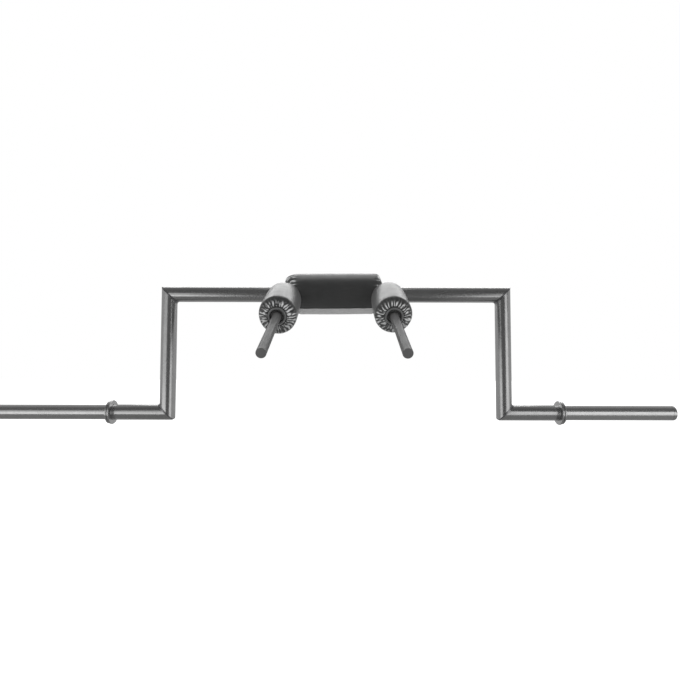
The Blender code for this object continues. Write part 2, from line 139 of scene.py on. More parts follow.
# How far a shoulder cover's back reaches over the neck pad, and its front hem puckers forward
SHOULDER_SETBACK = 0.008
SETBACK_LENGTH = 0.03
SHOULDER_PUCKER = 0.018
PUCKER_RADIUS = 0.044
# How much fuller each shoulder cover is than the frame's, how much higher at the back, and how far
# its underside hangs at the front. The last two come in over this height above or below the handle.
SHOULDER_FIT = {"left": (0.0022, 0.0010, 0.0035), "right": (0.0014, 0.0035, 0.0)}
FIT_HEIGHT = 0.04
FIT_EDGE = 0.008

# How far the neck pad's ends give, away from the handles, and how it sits on the tube
NECK_GIVE = {"left": 0.0170, "right": -0.0030}
GIVE_ANGLES = (math.radians(50), math.radians(85))
GIVE_WIDTH = 0.014
NECK_LIFT = 0.0036
NECK_SLOPE = 0.008

# Folds: their share along the barrel's ends and how far they run there, how wide the highlight painted
# on their ridges is, how much weaker it is on the lower ones, and how far the skin sags between them
BARREL_FOLDS = 0.08
BARREL_REACH = 0.022
HIGHLIGHT_WAVE = 0.30
LOWER_HIGHLIGHT_LOSS = 0.45
SAG = 0.0008
# How far the painted highlight holds off on the upper folds, and the radius of the hem's painted highlight
NECK_HIGHLIGHT = (0, 0)
SHOULDER_HIGHLIGHT = (1, 0.0275)
HEM_HIGHLIGHT = 0.14
FOLD_SEEDS = {"neck": 4.0, "left": 11.0, "right": 23.0}
# How much of a fold's depth goes along the pad and how much inwards, and how late it comes in over
# the rounded edge
NECK_LEAN, NECK_SPREAD = (0.6, 0.8), 0.8
SHOULDER_LEAN, SHOULDER_SPREAD = (0.85, 0.5), 2.0

# The closure strip under the neck pad: from where to where round the pad, and its wavy edge
STRIP_ANGLES = (math.radians(-53), math.radians(-101))
STRIP_THICKNESS = 0.00084
STRIP_WAVES = 0.0012
STRIP_LOOSE = 0.0004

# The grooves between a hem cord's two strands, as a share of its thickness, and its twists round a hem
CORD_GROOVE = 0.10
CORD_TWISTS = 40

# How the covers settle as cloth
CLOTH_FRAMES = 20
CLOTH_PRESSURE = 4.0
CLOTH_QUALITY = 5

# How finely the pieces are made
TUBE_STEPS = 96
RING_STEPS = 128
WELD_STEPS = 240
WELD_CREST_POINTS = 9
STEPS_PER_FOLD = 8
BARREL_STEPS = 16
RIM_STEPS = 9
FACE_STEPS = 14
LIP_STEPS = 6
CORD_STEPS = 12
SMOOTH_ANGLE = math.radians(24)
WELD_SMOOTH_ANGLE = math.radians(60)
SOFT_SMOOTH_ANGLE = math.radians(80)
MERGE_DISTANCE = 0.000001

# The studio's room, how far apart two cards lie where one is in front of the other, and the floor
ROOM_SIDE = 4.5
ROOM_FRONT = -1.75
ROOM_BACK = 1.75
ROOM_LOW = -1.25
ROOM_HIGH = 1.7
CARD_GAP = 0.01
BEHIND_FRONT = ROOM_FRONT - CARD_GAP
FLOOR_HALF = 30.0

# The cards that the metal reflects: name, two corners, and level
CARDS = (
    ("front", (-ROOM_SIDE, BEHIND_FRONT, ROOM_LOW), (ROOM_SIDE, BEHIND_FRONT, ROOM_HIGH), 0.12),
    ("left_low", (-ROOM_SIDE, ROOM_FRONT, ROOM_LOW), (-0.8, ROOM_FRONT, -0.45), 1.10),
    ("left_high", (-ROOM_SIDE, ROOM_FRONT, -0.45), (-0.92, ROOM_FRONT, 0.45), 0.66),
    ("right_low", (0.95, ROOM_FRONT, ROOM_LOW), (ROOM_SIDE, ROOM_FRONT, -0.45), 0.95),
    ("right_high", (1.15, ROOM_FRONT, -0.45), (3.0, ROOM_FRONT, 0.40), 1.05),
    ("right_far", (3.0, ROOM_FRONT, -0.45), (ROOM_SIDE, ROOM_FRONT, 0.12), 0.50),
    ("right_flag", (0.0, -0.5, -0.12), (0.40, -0.5, 0.30), 0.12),
    ("ceiling_front", (-ROOM_SIDE, ROOM_FRONT, ROOM_HIGH), (ROOM_SIDE, -0.5, ROOM_HIGH), 0.12),
    ("ceiling_middle", (-ROOM_SIDE, -0.5, ROOM_HIGH), (ROOM_SIDE, 0.5, ROOM_HIGH), 0.18),
    ("ceiling_back", (-ROOM_SIDE, 0.5, ROOM_HIGH), (ROOM_SIDE, ROOM_BACK, ROOM_HIGH), 0.33),
    ("back", (-ROOM_SIDE, ROOM_BACK, ROOM_LOW), (ROOM_SIDE, ROOM_BACK, 0.6), 0.42),
    ("overhead", (-0.38, -0.15, ROOM_HIGH - CARD_GAP), (0.38, 1.70, ROOM_HIGH - CARD_GAP), 1.15),
    ("back_top", (-1.6, ROOM_BACK - CARD_GAP, 0.95), (1.6, ROOM_BACK - CARD_GAP, ROOM_HIGH), 2.80),
    ("back_sides", (-ROOM_SIDE, ROOM_BACK, 0.6), (ROOM_SIDE, ROOM_BACK, ROOM_HIGH), 0.45),
    ("floor_left", (-ROOM_SIDE, ROOM_FRONT, ROOM_LOW), (0.0, 0.5, ROOM_LOW), 0.20),
    ("floor_right", (0.0, ROOM_FRONT, ROOM_LOW), (0.65, 0.5, ROOM_LOW), 0.11),
    ("floor_far", (0.65, ROOM_FRONT, ROOM_LOW), (ROOM_SIDE, 0.5, ROOM_LOW), 0.22),
    ("floor_back", (-ROOM_SIDE, 0.5, ROOM_LOW), (ROOM_SIDE, ROOM_BACK, ROOM_LOW), 0.38),
    ("left_end", (-ROOM_SIDE, ROOM_FRONT, ROOM_LOW), (-ROOM_SIDE, ROOM_BACK, ROOM_HIGH), 0.43),
    ("right_end", (ROOM_SIDE, ROOM_FRONT, ROOM_LOW), (ROOM_SIDE, ROOM_BACK, ROOM_HIGH), 0.43),
)

# The soft lamps: name, place, what it points at, width and height, and its share of the lamp level
LAMPS = (
    ("left_lamp", (-2.2, -1.7, 1.5), (0, 0, -0.2), (1.6, 1.6), 1.0),
    ("right_lamp", (2.2, -1.7, 1.5), (0, 0, -0.2), (1.6, 1.6), 1.0),
    ("back_lamp", (0, 1.4, 1.8), (0, 0, 0), (3.0, 1.0), 1.5),
)


# Meshes


def eased(value, low, high):
    """0 below low, 1 above high, and a soft step between them."""
    share = min(1, max(0, (value - low) / (high - low)))
    return share * share * (3 - 2 * share)


def spun(profile, steps, weights=None):
    """Spins (x, radius) points about X into a closed body. A bored shape's outline closes on itself."""
    body = bmesh.new()
    weight = body.verts.layers.float.new("weight")
    # Room for the highlight that is painted pale on the folds' ridges and hems
    body.verts.layers.float.new("ridge_highlight")
    points = [body.verts.new((x, 0, radius)) for x, radius in profile]
    for point, value in zip(points, weights or [0] * len(points)):
        point[weight] = value
    bored = min(radius for _, radius in profile) > MERGE_DISTANCE
    followers = points[1:] + points[:1] if bored else points[1:]
    edges = [body.edges.new(pair) for pair in zip(points, followers)]
    bmesh.ops.spin(
        body,
        geom=points + edges,
        cent=(0, 0, 0),
        axis=(1, 0, 0),
        angle=math.tau,
        steps=steps,
        use_merge=True,
    )
    tidy(body)
    return body


def tidy(body):
    """Merges doubles and turns every face outwards."""
    bmesh.ops.remove_doubles(body, verts=body.verts, dist=MERGE_DISTANCE)
    bmesh.ops.recalc_face_normals(body, faces=body.faces)


def round_edges(body, edges, width, segments):
    bmesh.ops.bevel(
        body,
        geom=edges,
        offset=width,
        offset_type="OFFSET",
        segments=segments,
        profile=0.5,
        affect="EDGES",
        clamp_overlap=True,
        material=-1,
    )


def rims(body, least_radius, after=-math.inf):
    """The sharp circular edges of a turned shape about X, outside a radius and after a place on X."""
    found = []
    for edge in body.edges:
        start, end = edge.verts[0].co, edge.verts[1].co
        middle = (start + end) / 2
        far_out = math.hypot(middle.y, middle.z) > least_radius
        around = abs(start.x - end.x) < MERGE_DISTANCE
        if far_out and around and start.x > after and edge.calc_face_angle(0) > math.radians(60):
            found.append(edge)
    return found


def cut_at(body, place_on, outward, **more):
    """Cuts a whole shape at a plane, and gives what the cut made."""
    return bmesh.ops.bisect_plane(
        body,
        geom=body.verts[:] + body.edges[:] + body.faces[:],
        dist=MERGE_DISTANCE,
        plane_co=place_on,
        plane_no=outward,
        **more,
    )


def reshape(body, rule):
    """Moves each point of a shape spun about X to where rule puts its distance, radius and angle."""
    for vertex in body.verts:
        distance, radius = vertex.co.x, math.hypot(vertex.co.y, vertex.co.z)
        angle = math.atan2(vertex.co.y, vertex.co.z)
        vertex.co = rule(distance, radius, angle, vertex)
    tidy(body)
    return body


def place(body, matrix):
    """Moves a finished shape, and turns it the right way out again if the move mirrors it."""
    bmesh.ops.transform(body, matrix=matrix, verts=body.verts)
    bmesh.ops.recalc_face_normals(body, faces=body.faces)


def mirrored(side):
    return Matrix.Diagonal((SIDES[side], 1, 1, 1))


def to_piece(name, body, material, smooth=SMOOTH_ANGLE):
    """Turns a finished bmesh into an object at the origin."""
    mesh = bpy.data.meshes.new(name)
    body.to_mesh(mesh)
    body.free()
    mesh.shade_smooth()
    mesh.set_sharp_from_angle(angle=smooth)
    mesh.materials.append(material)
    piece = bpy.data.objects.new(name, mesh)
    bpy.context.scene.collection.objects.link(piece)
    return piece


def stand_for(node, body, material, smooth=SMOOTH_ANGLE):
    """The finished piece that is shown in place of one node, on the node's body and with the given finish.
    """
    piece = to_piece(f"{node}_finished", body, material, smooth)
    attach(piece, BODY_OF[node])
    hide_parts(node)
    return piece


# Shader nodes


def feed(tree, node, inputs):
    """Gives each named input of a node a value, or another node's output to read."""
    for name, value in inputs.items():
        if isinstance(value, bpy.types.NodeSocket):
            tree.links.new(value, node.inputs[name])
        else:
            node.inputs[name].default_value = value


def add_node(tree, kind, inputs=None, **settings):
    node = tree.nodes.new(kind)
    for name, value in settings.items():
        setattr(node, name, value)
    feed(tree, node, inputs or {})
    return node


def math_of(tree, operation, *values):
    return add_node(tree, "ShaderNodeMath", dict(enumerate(values)), operation=operation).outputs[0]


def ranged(tree, value, source, target=(0.0, 1.0), curve="LINEAR"):
    """A value taken from one range to another, and held inside it."""
    inputs = {"Value": value, "From Min": source[0], "From Max": source[1]}
    inputs |= {"To Min": target[0], "To Max": target[1]}
    return add_node(tree, "ShaderNodeMapRange", inputs, interpolation_type=curve).outputs["Result"]


def noise_of(tree, vector, scale, **more):
    """A noise texture's value, with any more of its inputs by name."""
    return add_node(tree, "ShaderNodeTexNoise", {"Vector": vector, "Scale": scale, **more}).outputs["Fac"]


def mixed(tree, mask, first, second):
    """A colour between two colours, by a mask. A colour's sockets on the node are 6 and 7, and out at 2."""
    return add_node(tree, "ShaderNodeMix", {0: mask, 6: first, 7: second}, data_type="RGBA").outputs[2]


def shaded(colour, level=1.0):
    """A colour made darker or lighter."""
    return (*[min(1, channel * level) for channel in colour], 1)


def new_group(name, inputs, outputs):
    """An empty shader group: its tree, the sockets it is given and its output node.

    An input with a number is a value, and any other a vector.
    """
    tree = bpy.data.node_groups.new(name, "ShaderNodeTree")
    for socket, value in inputs.items():
        kind = "NodeSocketFloat" if isinstance(value, float) else "NodeSocketVector"
        made = tree.interface.new_socket(socket, in_out="INPUT", socket_type=kind)
        if value is not None:
            made.default_value = value
    for socket in outputs:
        tree.interface.new_socket(socket, in_out="OUTPUT", socket_type="NodeSocketFloat")
    return tree, tree.nodes.new("NodeGroupInput").outputs, tree.nodes.new("NodeGroupOutput")


def build_grain_group(name):
    """Fine lines left by drawing, rolling or turning: noise that is stretched along one direction."""
    tree, given, result = new_group(name, {"Vector": None, "Stretch": (1, 1, 1), "Scale": 1000.0}, ["Mask"])
    factors = {0: given["Vector"], 1: given["Stretch"]}
    stretched = add_node(tree, "ShaderNodeVectorMath", factors, operation="MULTIPLY").outputs[0]
    feed(tree, result, {"Mask": noise_of(tree, stretched, given["Scale"], Detail=4.0, Roughness=0.6)})
    return tree


def build_clouds_group(name):
    """Soft patches of handling and oxide, from 0 to 1."""
    tree, given, result = new_group(name, {"Vector": None, "Scale": 20.0, "Sharpness": 0.25}, ["Mask"])
    clouds = noise_of(tree, given["Vector"], given["Scale"], Detail=6.0, Distortion=0.4)
    low = math_of(tree, "SUBTRACT", 0.5, given["Sharpness"])
    high = math_of(tree, "ADD", 0.5, given["Sharpness"])
    feed(tree, result, {"Mask": ranged(tree, clouds, (low, high), curve="SMOOTHSTEP")})
    return tree


def build_wear_group(name):
    """Edges worn bright, from how the surface bends."""
    tree, given, result = new_group(name, {"Vector": None, "Width": 0.04}, ["Edge"])
    bend = add_node(tree, "ShaderNodeNewGeometry").outputs["Pointiness"]
    chips = noise_of(tree, given["Vector"], 260.0, Detail=5.0)
    edge = ranged(tree, bend, (0.505, math_of(tree, "ADD", 0.5, given["Width"])))
    feed(tree, result, {"Edge": math_of(tree, "MULTIPLY", edge, chips)})
    return tree


def build_pebble_group(name):
    """The pressed grain of vinyl: small rounded cells with narrow valleys, and finer pores."""
    tree, given, result = new_group(name, {"Vector": None, "Scale": 900.0}, ["Height", "Valley"])
    inputs = {"Vector": given["Vector"], "Scale": given["Scale"], "Randomness": 0.9}
    cells = add_node(tree, "ShaderNodeTexVoronoi", inputs, feature="DISTANCE_TO_EDGE")
    valley = ranged(tree, cells.outputs["Distance"], (0.0, 0.16), (1.0, 0.0), "SMOOTHSTEP")
    pores = noise_of(tree, given["Vector"], 2600.0, Detail=3.0)
    raised = math_of(tree, "SUBTRACT", 1.0, valley)
    height = math_of(tree, "MULTIPLY_ADD", pores, 0.35, raised)
    feed(tree, result, {"Height": height, "Valley": valley})
    return tree


def build_weave_group(name):
    """Two sets of threads that cross, as a height from 0 to 1."""
    tree, given, result = new_group(name, {"Vector": None, "Threads": 1200.0}, ["Height"])
    inputs = {"Vector": given["Vector"], "Scale": given["Threads"], "Distortion": 0.6}
    waves = [add_node(tree, "ShaderNodeTexWave", inputs, bands_direction=axis) for axis in "XZ"]
    higher = math_of(tree, "MAXIMUM", *[wave.outputs["Fac"] for wave in waves])
    feed(tree, result, {"Height": higher})
    return tree


def use_group(tree, name, build, inputs):
    """Places a shared group in a material, with this material's own values."""
    group = bpy.data.node_groups.get(name) or build(name)
    return add_node(tree, "ShaderNodeGroup", inputs, node_tree=group).outputs


def handling_patches(tree, coordinates, scale):
    inputs = {"Vector": coordinates, "Scale": scale}
    return use_group(tree, "handling_patches", build_clouds_group, inputs)["Mask"]


def new_material(name):
    """A material, its tree, its Principled shader and its Object coordinates."""
    material = bpy.data.materials.new(name)
    material.use_nodes = True
    tree = material.node_tree
    shader = tree.nodes["Principled BSDF"]
    coordinates = add_node(tree, "ShaderNodeTexCoord").outputs["Object"]
    return material, tree, shader, coordinates


def bump(tree, height, distance, strength):
    inputs = {"Height": height, "Distance": distance, "Strength": strength}
    return add_node(tree, "ShaderNodeBump", inputs).outputs["Normal"]


# Finishes


def steel(name, colour, roughness, stretch, turn=(0, 0, 0), clouds=22.0, stain=0.82, metallic=1.0):
    """Steel with fine lines along one direction, handling patches and worn edges."""
    material, tree, shader, coordinates = new_material(name)
    turned = add_node(tree, "ShaderNodeMapping", {"Vector": coordinates, "Rotation": turn}).outputs["Vector"]
    lines = {"Vector": turned, "Stretch": stretch, "Scale": 1500.0}
    grain = use_group(tree, "line_grain", build_grain_group, lines)["Mask"]
    patches = handling_patches(tree, coordinates, clouds)
    wear = use_group(tree, "bend_wear", build_wear_group, {"Vector": coordinates})["Edge"]
    stained = mixed(tree, patches, shaded(colour, stain), shaded(colour))
    blurred = ranged(tree, grain, (0.0, 1.0), (roughness * 0.80, roughness * 1.20))
    looks = {
        "Base Color": mixed(tree, wear, stained, shaded(colour, 1.25)),
        "Roughness": math_of(tree, "MULTIPLY_ADD", patches, roughness * -0.16, blurred),
        "Metallic": metallic,
        "Specular IOR Level": 0.5 * metallic**2,
        "Normal": bump(tree, grain, 0.00002, 0.25),
    }
    feed(tree, shader, looks)
    return material


def vinyl(name, colour, painted_highlight, roughness):
    """Black upholstery vinyl: pressed grain, a thin gloss, and a highlight painted pale on the folds."""
    material, tree, shader, coordinates = new_material(name)
    pressed = {"Vector": coordinates, "Scale": 1100.0}
    pebbles = use_group(tree, "pressed_grain", build_pebble_group, pressed)
    patches = handling_patches(tree, coordinates, 35.0)
    worn = mixed(tree, patches, shaded(colour, 0.75), shaded(colour, 1.15))
    # The pale colour read from this attribute is a painted highlight on the folds' ridges
    ridge_highlight = add_node(tree, "ShaderNodeAttribute", attribute_name="ridge_highlight").outputs["Fac"]
    blurred = ranged(tree, patches, (0.0, 1.0), (roughness * 0.9, roughness * 1.12))
    looks = {
        "Base Color": mixed(tree, ridge_highlight, worn, shaded(painted_highlight)),
        "Roughness": math_of(tree, "MULTIPLY_ADD", pebbles["Valley"], 0.12, blurred),
        "IOR": 2.0,
        "Coat Weight": 0.6,
        "Coat Roughness": 0.30,
        "Coat IOR": 1.7,
        "Sheen Weight": 0.17,
        "Sheen Roughness": 0.5,
        "Normal": bump(tree, pebbles["Height"], 0.00006, 0.35),
    }
    feed(tree, shader, looks)
    return material


def foam(name, colour):
    """Open-cell foam."""
    material, tree, shader, coordinates = new_material(name)
    cells = use_group(tree, "pressed_grain", build_pebble_group, {"Vector": coordinates, "Scale": 700.0})
    looks = {
        "Base Color": mixed(tree, cells["Valley"], shaded(colour), shaded(colour, 0.5)),
        "Roughness": 0.95,
        "Normal": bump(tree, cells["Height"], 0.0006, 0.8),
    }
    feed(tree, shader, looks)
    return material


def woven(name, colour, threads, roughness):
    """Webbing or cord."""
    material, tree, shader, coordinates = new_material(name)
    crossed = {"Vector": coordinates, "Threads": threads}
    height = use_group(tree, "crossed_threads", build_weave_group, crossed)["Height"]
    light = mixed(tree, handling_patches(tree, coordinates, 60.0), shaded(colour, 0.85), shaded(colour))
    looks = {
        "Base Color": mixed(tree, height, shaded(colour, 0.55), light),
        "Roughness": ranged(tree, height, (0.0, 1.0), (roughness * 1.15, roughness)),
        "Sheen Weight": 0.2,
        "Normal": bump(tree, height, 0.0002, 0.6),
    }
    feed(tree, shader, looks)
    return material


def finish(name, build, *looks, **more):
    """A finish by its name, which is built when a piece first asks for it."""
    return bpy.data.materials.get(name) or build(name, *looks, **more)


def along_bar_steel(steels):
    return finish("tube_steel_along_bar", steel, steels.tube_colour, steels.tube_roughness, (0.02, 1, 1))


def upright_steel(steels):
    return finish("tube_steel_upright", steel, steels.tube_colour, steels.tube_roughness, (1, 1, 0.02))


def turned_steel(steels):
    """Sleeves and rings: the lines of turning run round the bar."""
    looks = (steels.sleeve_colour, steels.sleeve_roughness, (1, 0.03, 0.03))
    return finish("turned_steel", steel, *looks, clouds=30.0)


def handle_steel(steels):
    """Satin plating, which scatters part of the light."""
    looks = (steels.handle_colour, steels.handle_roughness, (1, 0.02, 1), (HANDLE_SLOPE, 0, 0))
    return finish("plated_handle", steel, *looks, stain=0.94, metallic=0.4)


def weld_steel(steels):
    return finish("weld_bead", steel, steels.weld_colour, 0.36, (1, 1, 1), clouds=180.0, stain=0.6)


def bronze():
    return finish("bearing_bronze", steel, (0.52, 0.34, 0.16), 0.35, (1, 0.05, 0.05), clouds=60.0)


def pad_vinyl(pads):
    return finish("pad_vinyl_black", vinyl, pads.vinyl_colour, pads.ridge_highlight_colour, pads.vinyl_roughness)


def pad_foam(pads):
    return finish("pad_foam_grey", foam, pads.foam_colour)


def cord_cloth(pads):
    return finish("hem_cord_black", woven, pads.cord_colour, 1500.0, 0.85)


def strip_cloth(pads):
    return finish("strip_webbing_grey", woven, pads.strip_colour, 900.0, 0.55)


# Frame tubes and welds


def mitred_tube(start, end, start_slope, end_slope):
    """A tube along X. A slope of 1 or -1 cuts an end at 45 degrees, and 0 leaves it square."""
    cuts = ((start, start_slope, -1), (end, end_slope, 1))
    first, last = [x + outward * abs(slope) * 2 * TUBE_RADIUS for x, slope, outward in cuts]
    outline = [(first, TUBE_BORE), (first, TUBE_RADIUS), (last, TUBE_RADIUS), (last, TUBE_BORE)]
    body = spun(outline, TUBE_STEPS)
    if not end_slope:
        round_edges(body, rims(body, TUBE_BORE * 1.01, start), STUB_ROUNDING, 2)
    for x, slope, outward in cuts:
        if slope:
            cut_mitre(body, Vector((x, 0, 0)), Vector((outward, 0, -outward * slope)).normalized())
    return body


def cut_mitre(body, corner, outward):
    """Cuts a tube off at a plane, closes its wall there and chamfers it for the weld."""
    cut = cut_at(body, corner - outward * GAP / 2, outward, clear_outer=True)
    loops = [item for item in cut["geom_cut"] if isinstance(item, bmesh.types.BMEdge)]
    bmesh.ops.bridge_loops(body, edges=loops)
    middle_radius = (TUBE_RADIUS + TUBE_BORE) / 2
    outer = [e for e in loops if math.hypot(e.verts[0].co.y, e.verts[0].co.z) > middle_radius]
    round_edges(body, outer, WELD_PREPARATION, 1)
    bmesh.ops.recalc_face_normals(body, faces=body.faces)


def grind_tip(body, side, top):
    """Blunts the outer point of a mitre on a shape in place. Top is 1 for an upper mitre, -1 for a lower."""
    height, depth = (0, UPPER_TIP) if top > 0 else (SLEEVE_Z, LOWER_TIP)
    outward = Vector((SIDES[side] * top, 0, top)).normalized()
    tip = Vector((SIDES[side] * (CORNER_X + top * TUBE_RADIUS), 0, height + top * TUBE_RADIUS))
    flat = tip - outward * depth
    cut_at(body, flat, outward)
    for vertex in body.verts:
        beyond = (vertex.co - flat).dot(outward)
        vertex.co -= outward * max(0, beyond) * GROUND_SHARE
    bmesh.ops.recalc_face_normals(body, faces=body.faces)


def crest(point, normals, aways, tangent, toe, share, rise):
    """A point of a weld's surface between two surfaces: share runs from the first toe to the second."""
    toes = []
    for away, normal in zip(aways, normals):
        square = away - tangent * away.dot(tangent) - normal * away.dot(normal)
        toes.append(point + square.normalized() * toe + normal * GAP)
    outward = (normals[0] + normals[1]).normalized()
    pull = point + outward * (2 * WELD_CROWN + 2 * rise)
    return toes[0] * (1 - share) ** 2 + pull * (2 * share * (1 - share)) + toes[1] * share**2


def bead(steps, rule):
    """A weld: a closed section round a ring, put in place by a rule.

    The rule is given the share of the way across the bead, or None at its root, and the angle.
    """
    face_radius, root_radius = 2, 1
    places = [2 * step / (WELD_CREST_POINTS - 1) - 1 for step in range(WELD_CREST_POINTS)]
    blank = spun([(x, face_radius) for x in places] + [(0, root_radius)], steps)

    def put(distance, radius, angle, vertex):
        at_root = radius < (face_radius + root_radius) / 2
        return rule(None if at_root else (distance + 1) / 2, angle)

    return reshape(blank, put)


def ripple(length, count, share):
    """The small waves that a weld pool leaves, bowed across the bead."""
    bow = 0.25 * (2 * share - 1) ** 2
    return RIPPLE_HEIGHT * (0.5 + 0.5 * math.cos(math.tau * (length * count - bow)))


def mitre_weld(height, along_tube, along_drop, inner_toe):
    """The bead round a mitre of the right side. The two directions point from its corner along the tubes."""
    mitre_girth = math.tau * TUBE_RADIUS * 1.2
    ripples = round(mitre_girth / RIPPLE_PITCH)

    def rule(share, angle):
        cosine, sine = math.cos(angle), math.sin(angle)
        point = Vector((CORNER_X + TUBE_RADIUS * cosine, TUBE_RADIUS * sine, height + TUBE_RADIUS * cosine))
        normals = (Vector((0, sine, cosine)), Vector((cosine, sine, 0)))
        if share is None:
            return point - (normals[0] + normals[1]).normalized() * WELD_PREPARATION
        inside = (1 + cosine * along_tube.x) / 2
        uneven = WELD_WANDER * noise.noise(point * 90 + Vector((0, 0, height)))
        toe = WELD_PREPARATION + (inner_toe - WELD_PREPARATION) * inside**2 + uneven
        tangent = Vector((-sine, cosine, -sine)).normalized()
        rise = ripple(angle / math.tau, ripples, share)
        return crest(point, normals, (along_tube, along_drop), tangent, toe, share, rise)

    return bead(WELD_STEPS, rule)


def handle_weld():
    """The fillet round the right handle's foot, on the curve where it meets the centre tube."""
    ripples = round(math.tau * HANDLE_RADIUS / RIPPLE_PITCH)

    def rule(share, angle):
        across, up = HANDLE_RADIUS * math.cos(angle), HANDLE_RADIUS * math.sin(angle)
        along = math.sqrt(TUBE_RADIUS**2 - up**2)
        point = X_AXIS * (HANDLE_X + across) + FORWARD * along + UPWARD * up
        handle_normal = (X_AXIS * across + UPWARD * up).normalized()
        tube_normal = (FORWARD * along + UPWARD * up).normalized()
        if share is None:
            return point + (handle_normal + tube_normal).normalized() * GAP
        tangent = handle_normal.cross(tube_normal).normalized()
        rise = ripple(angle / math.tau, ripples, share)
        normals, aways = (handle_normal, tube_normal), (FORWARD, handle_normal)
        return crest(point, normals, aways, tangent, HANDLE_FILLET, share, rise)

    return bead(WELD_STEPS // 2, rule)


# Handles, rings and sleeves


def along_handle(side):
    """Takes a shape made along X to one handle, with X along it and Z up from it."""
    turn = Matrix((FORWARD, X_AXIS, UPWARD)).transposed().to_4x4()
    return mirrored(side) @ Matrix.Translation((HANDLE_X, 0, 0)) @ turn


def handle_bar():
    """A round bar along X whose foot lies on the centre tube, and whose end is rounded off."""
    foot = TUBE_RADIUS
    places = (0, foot * 1.5, HANDLE_END - HANDLE_END_BAND, HANDLE_END)
    body = spun([(0, 0), *[(x, HANDLE_RADIUS) for x in places], (HANDLE_END, 0)], TUBE_STEPS)
    round_edges(body, rims(body, HANDLE_RADIUS / 2, foot), HANDLE_ROUNDING, 3)
    for vertex in body.verts:
        if vertex.co.x < MERGE_DISTANCE:
            vertex.co.x = math.sqrt((TUBE_RADIUS + GAP) ** 2 - vertex.co.z**2)
    bmesh.ops.recalc_face_normals(body, faces=body.faces)
    return body


def turned_ring(node, width, segments):
    """A ring about X that fills the same space as a node of the right side, with its outer edges broken."""
    start, end = span(node, X_AXIS)
    bore, radius = radii(node, SLEEVE_AXIS, X_AXIS)
    body = spun([(start, bore), (start, radius), (end, radius), (end, bore)], RING_STEPS)
    round_edges(body, rims(body, (bore + radius) / 2), width, segments)
    return body


def end_cap():
    """The flange that closes a sleeve, with its plug inside the bore and a turned centre mark."""
    start, face = span("right_end_cap", X_AXIS)
    radius = radii("right_end_cap", SLEEVE_AXIS, X_AXIS)[1]
    flange = span("right_sleeve_tube", X_AXIS)[1] + GAP
    plug = radii("right_sleeve_tube", SLEEVE_AXIS, X_AXIS)[0] - GAP
    mark_radius, mark_depth = CENTRE_MARK
    outline = [(start, 0), (start, plug), (flange, plug), (flange, radius), (face, radius)]
    outline += [(face, mark_radius), (face - mark_depth, 0)]
    body = spun(outline, RING_STEPS)
    round_edges(body, rims(body, plug * 1.01, flange + GAP), CAP_ROUNDING, 3)
    return body


# Pads


def quarter_round(end, radius, axial, radial, steps):
    """Points from an end's face, over its rounded edge, to the full radius."""
    points = []
    for step in range(steps + 1):
        angle = math.pi / 2 * step / steps
        points.append((end - axial * (1 - math.cos(angle)), radius - radial * (1 - math.sin(angle))))
    return points


def outer_line(half, radius, hem, rounding, spread):
    """A cover's outside from the middle to its hem, as (distance, radius, share of fold)."""
    hem_radius, hem_depth, roll = hem
    axial, radial = rounding
    barrel_end = half - axial
    line = []
    for step in range(BARREL_STEPS):
        x = barrel_end * (1 - (1 - step / BARREL_STEPS) ** 1.6)
        near_rim = max(0, 1 - (barrel_end - x) / BARREL_REACH)
        line.append((x, radius + PAD_CROWN * (1 - (x / barrel_end) ** 2), BARREL_FOLDS * near_rim**2))
    rim = quarter_round(half, radius, axial, radial, RIM_STEPS)[::-1]
    for step, (x, r) in enumerate(rim):
        line.append((x, r, BARREL_FOLDS + (1 - BARREL_FOLDS) * (step / RIM_STEPS) ** spread))
    foot, face_radius = hem_radius + HEM_LIP + roll / 8, radius - radial
    for step in range(1, FACE_STEPS + 1):
        inward = step / FACE_STEPS
        fade = min(1, (1 - inward) * 3.5)
        line.append((half - hem_depth * inward**1.5, face_radius + (foot - face_radius) * inward, fade))
    edge, lip = half - hem_depth + roll, HEM_LIP / 2
    for step in range(LIP_STEPS + 1):
        angle = math.pi * (0.5 - step / LIP_STEPS)
        line.append((edge + lip * (math.cos(angle) - 1), hem_radius + lip * (1 + math.sin(angle)), 0))
    return line


def inner_line(half, radius, hem, rounding):
    """A cover's inside from its hem back to the middle, which never folds."""
    end = half - hem[1] - HEM_LIP - COVER_SKIN
    corner = quarter_round(end, radius - COVER_SKIN, *rounding, 3)
    return [(x, r, -1) for x, r in ((end, hem[0]), *corner, (0, radius - COVER_SKIN))]


def cover_blank(half, radius, hem, rounding, folds, spread):
    """A closed skin about X, with the share of fold at each point, or -1 on its inside, as its weight."""
    right = outer_line(half, radius, hem, rounding, spread) + inner_line(half, radius, hem, rounding)
    left = [(-x, r, share) for x, r, share in right if x > MERGE_DISTANCE]
    outline = right + left[::-1]
    shares = [share for _, _, share in outline]
    return spun([(x, r) for x, r, _ in outline], folds * STEPS_PER_FOLD, shares)


def wander(angle, scale, depth):
    """Noise that runs round a pad and meets itself."""
    return noise.noise(Vector((math.cos(angle) * scale, math.sin(angle) * scale, depth)))


def fold(angle, radius, folds, seed):
    """A gathered end's folds: how far they go in, up to 1 in a crease, and their painted highlight."""
    lean = 0.55 * wander(angle, 2.6, radius * 60 + seed)
    spacing = 0.60 * wander(angle, 1.4, seed + 7)
    twist = 0.42 * wander(angle, 6, radius * 110 + seed)
    phase = folds * angle + math.tau * (lean + spacing + twist)
    wave = 1 - abs(math.cos(phase / 2))
    depth = 0.80 + 0.60 * wander(angle, 4.5, seed + 19)
    patchy = 0.80 + 3.2 * wander(angle, 8, radius * 130 + seed)
    # A pale band painted along each fold's crest stands in for the highlight there
    painted_highlight = 1.7 * max(0, 1 - wave / HIGHLIGHT_WAVE) * max(0, patchy)
    return max(0, wave * depth), min(1, painted_highlight)


